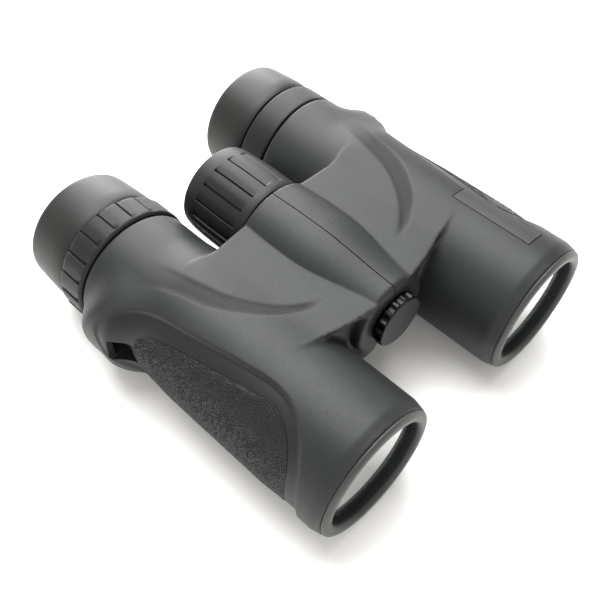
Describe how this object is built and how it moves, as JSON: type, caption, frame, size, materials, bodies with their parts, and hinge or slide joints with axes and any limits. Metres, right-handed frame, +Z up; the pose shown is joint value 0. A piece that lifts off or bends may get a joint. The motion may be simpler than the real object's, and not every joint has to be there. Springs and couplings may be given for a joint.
{
  "type": "binoculars",
  "caption": "Roof prism binoculars in grey rubber armour: hinged barrels, centre focus wheel, diopter ring, twist-up eyecups, strap slots and a capped tripod socket.",
  "frame": {"origin": "under the middle of the whole object, on the surface that its two barrels lie on", "axes": "+X across the barrels towards the user's left barrel, +Y along the sight line from objectives to eyecups, +Z up out of the flat top side"},
  "size_m": [0.1256, 0.1284, 0.0472],
  "materials": {
    "armour_rubber": "satin moulded rubber, dark grey",
    "grip_rubber": "rubber moulded with a leather-like grain",
    "eyecup_rubber": "smooth matt rubber, dark grey",
    "wheel_rubber": "satin rubber with moulded finger pads",
    "housing_magnesium": "black powder paint on cast magnesium",
    "black_aluminium": "black anodised, turned",
    "plate_plastic": "matt moulded plate, blank",
    "black_plastic": "matt glass-filled plastic",
    "cap_plastic": "gloss black plastic",
    "coated_glass": "multi-coated optical glass",
    "prism_glass": "ground and polished prism glass",
    "steel": "turned steel, lightly oiled",
    "brass": "turned brass",
    "seal_rubber": "plain black seal rubber"
  },
  "bodies": {
    "left_half": {"left_housing": "housing_magnesium", "left_bridge": "housing_magnesium", "left_strap_loop": "housing_magnesium", "left_armour": "armour_rubber", "left_grip_panel": "grip_rubber", "name_plate": "plate_plastic", "left_objective_ring": "black_aluminium", "left_objective_crown": "coated_glass", "left_objective_flint": "coated_glass", "left_objective_cell": "black_aluminium", "left_objective_seal": "seal_rubber", "left_half_penta_prism": "prism_glass", "left_roof_prism": "prism_glass", "left_prism_holder": "black_plastic", "left_prism_screws": "steel", "left_eyepiece_tube": "black_aluminium", "left_field_lens": "coated_glass", "left_eye_lens": "coated_glass", "left_eye_lens_ring": "black_aluminium", "left_eyepiece_ring": "armour_rubber", "hinge_axle": "steel", "hinge_nut": "steel", "tripod_socket": "brass"},
    "right_half": {"right_housing": "housing_magnesium", "right_bridge": "housing_magnesium", "right_strap_loop": "housing_magnesium", "right_armour": "armour_rubber", "right_grip_panel": "grip_rubber", "right_objective_ring": "black_aluminium", "right_objective_crown": "coated_glass", "right_objective_flint": "coated_glass", "right_objective_cell": "black_aluminium", "right_objective_seal": "seal_rubber", "right_half_penta_prism": "prism_glass", "right_roof_prism": "prism_glass", "right_prism_holder": "black_plastic", "right_prism_screws": "steel", "right_eyepiece_tube": "black_aluminium", "right_eye_lens": "coated_glass", "right_eye_lens_ring": "black_aluminium"},
    "focus_wheel": {"focus_wheel_hub": "black_aluminium", "focus_wheel_grip": "wheel_rubber", "focus_wheel_screw": "steel", "focus_wheel_cap": "black_plastic", "focus_spindle": "steel"},
    "traveller": {"focus_traveller": "brass"},
    "left_focus": {"left_focus_carrier": "black_aluminium", "left_focus_lens": "coated_glass"},
    "right_focus": {"right_focus_carrier": "black_aluminium", "right_focus_lens": "coated_glass"},
    "diopter_ring": {"right_diopter_ring": "armour_rubber"},
    "diopter_cell": {"right_diopter_cell": "black_aluminium", "right_field_lens": "coated_glass"},
    "left_eyecup_slide": {"left_eyecup_sleeve": "black_plastic"},
    "left_eyecup": {"left_eyecup_shell": "black_plastic", "left_eyecup_rubber": "eyecup_rubber"},
    "right_eyecup_slide": {"right_eyecup_sleeve": "black_plastic"},
    "right_eyecup": {"right_eyecup_shell": "black_plastic", "right_eyecup_rubber": "eyecup_rubber"},
    "tripod_cap": {"tripod_cap": "cap_plastic"}
  },
  "joints": [
    {"name": "central_hinge", "type": "hinge", "parent": "left_half", "child": "right_half", "pos_m": [0, 0, 0.031], "axis": [0, -1, 0], "range_deg": [0, 58]},
    {"name": "focus_wheel_turn", "type": "hinge", "parent": "left_half", "child": "focus_wheel", "pos_m": [0, 0, 0.031], "axis": [0, 1, 0], "range_deg": [-180, 180]},
    {"name": "traveller_slide", "type": "slide", "parent": "left_half", "child": "traveller", "axis": [0, 1, 0], "range_m": [-0.003, 0.003]},
    {"name": "left_focus_slide", "type": "slide", "parent": "left_half", "child": "left_focus", "axis": [0, 1, 0], "range_m": [-0.003, 0.003]},
    {"name": "right_focus_slide", "type": "slide", "parent": "right_half", "child": "right_focus", "axis": [0, 1, 0], "range_m": [-0.003, 0.003]},
    {"name": "diopter_turn", "type": "hinge", "parent": "right_half", "child": "diopter_ring", "pos_m": [-0.037, 0, 0.022], "axis": [0, 1, 0], "range_deg": [-60, 60]},
    {"name": "diopter_slide", "type": "slide", "parent": "right_half", "child": "diopter_cell", "axis": [0, 1, 0], "range_m": [-0.0015, 0.0015]},
    {"name": "left_eyecup_rise", "type": "slide", "parent": "left_half", "child": "left_eyecup_slide", "axis": [0, 1, 0], "range_m": [0, 0.008]},
    {"name": "left_eyecup_turn", "type": "hinge", "parent": "left_eyecup_slide", "child": "left_eyecup", "pos_m": [0.037, 0, 0.022], "axis": [0, 1, 0], "range_deg": [0, 270]},
    {"name": "right_eyecup_rise", "type": "slide", "parent": "right_half", "child": "right_eyecup_slide", "axis": [0, 1, 0], "range_m": [0, 0.008]},
    {"name": "right_eyecup_turn", "type": "hinge", "parent": "right_eyecup_slide", "child": "right_eyecup", "pos_m": [-0.037, 0, 0.022], "axis": [0, 1, 0], "range_deg": [0, 270]},
    {"name": "tripod_cap_unscrew", "type": "slide", "parent": "left_half", "child": "tripod_cap", "axis": [0, -1, 0], "range_m": [0, 0.06]}
  ],
  "couplings": [
    {"joint": "traveller_slide", "follows": "focus_wheel_turn", "m_per_rad": 0.00095},
    {"joint": "left_focus_slide", "follows": "focus_wheel_turn", "m_per_rad": 0.00095},
    {"joint": "right_focus_slide", "follows": "focus_wheel_turn", "m_per_rad": 0.00095},
    {"joint": "diopter_slide", "follows": "diopter_turn", "m_per_rad": 0.00143},
    {"joint": "left_eyecup_rise", "follows": "left_eyecup_turn", "m_per_rad": 0.001697},
    {"joint": "right_eyecup_rise", "follows": "right_eyecup_turn", "m_per_rad": 0.001697}
  ]
}
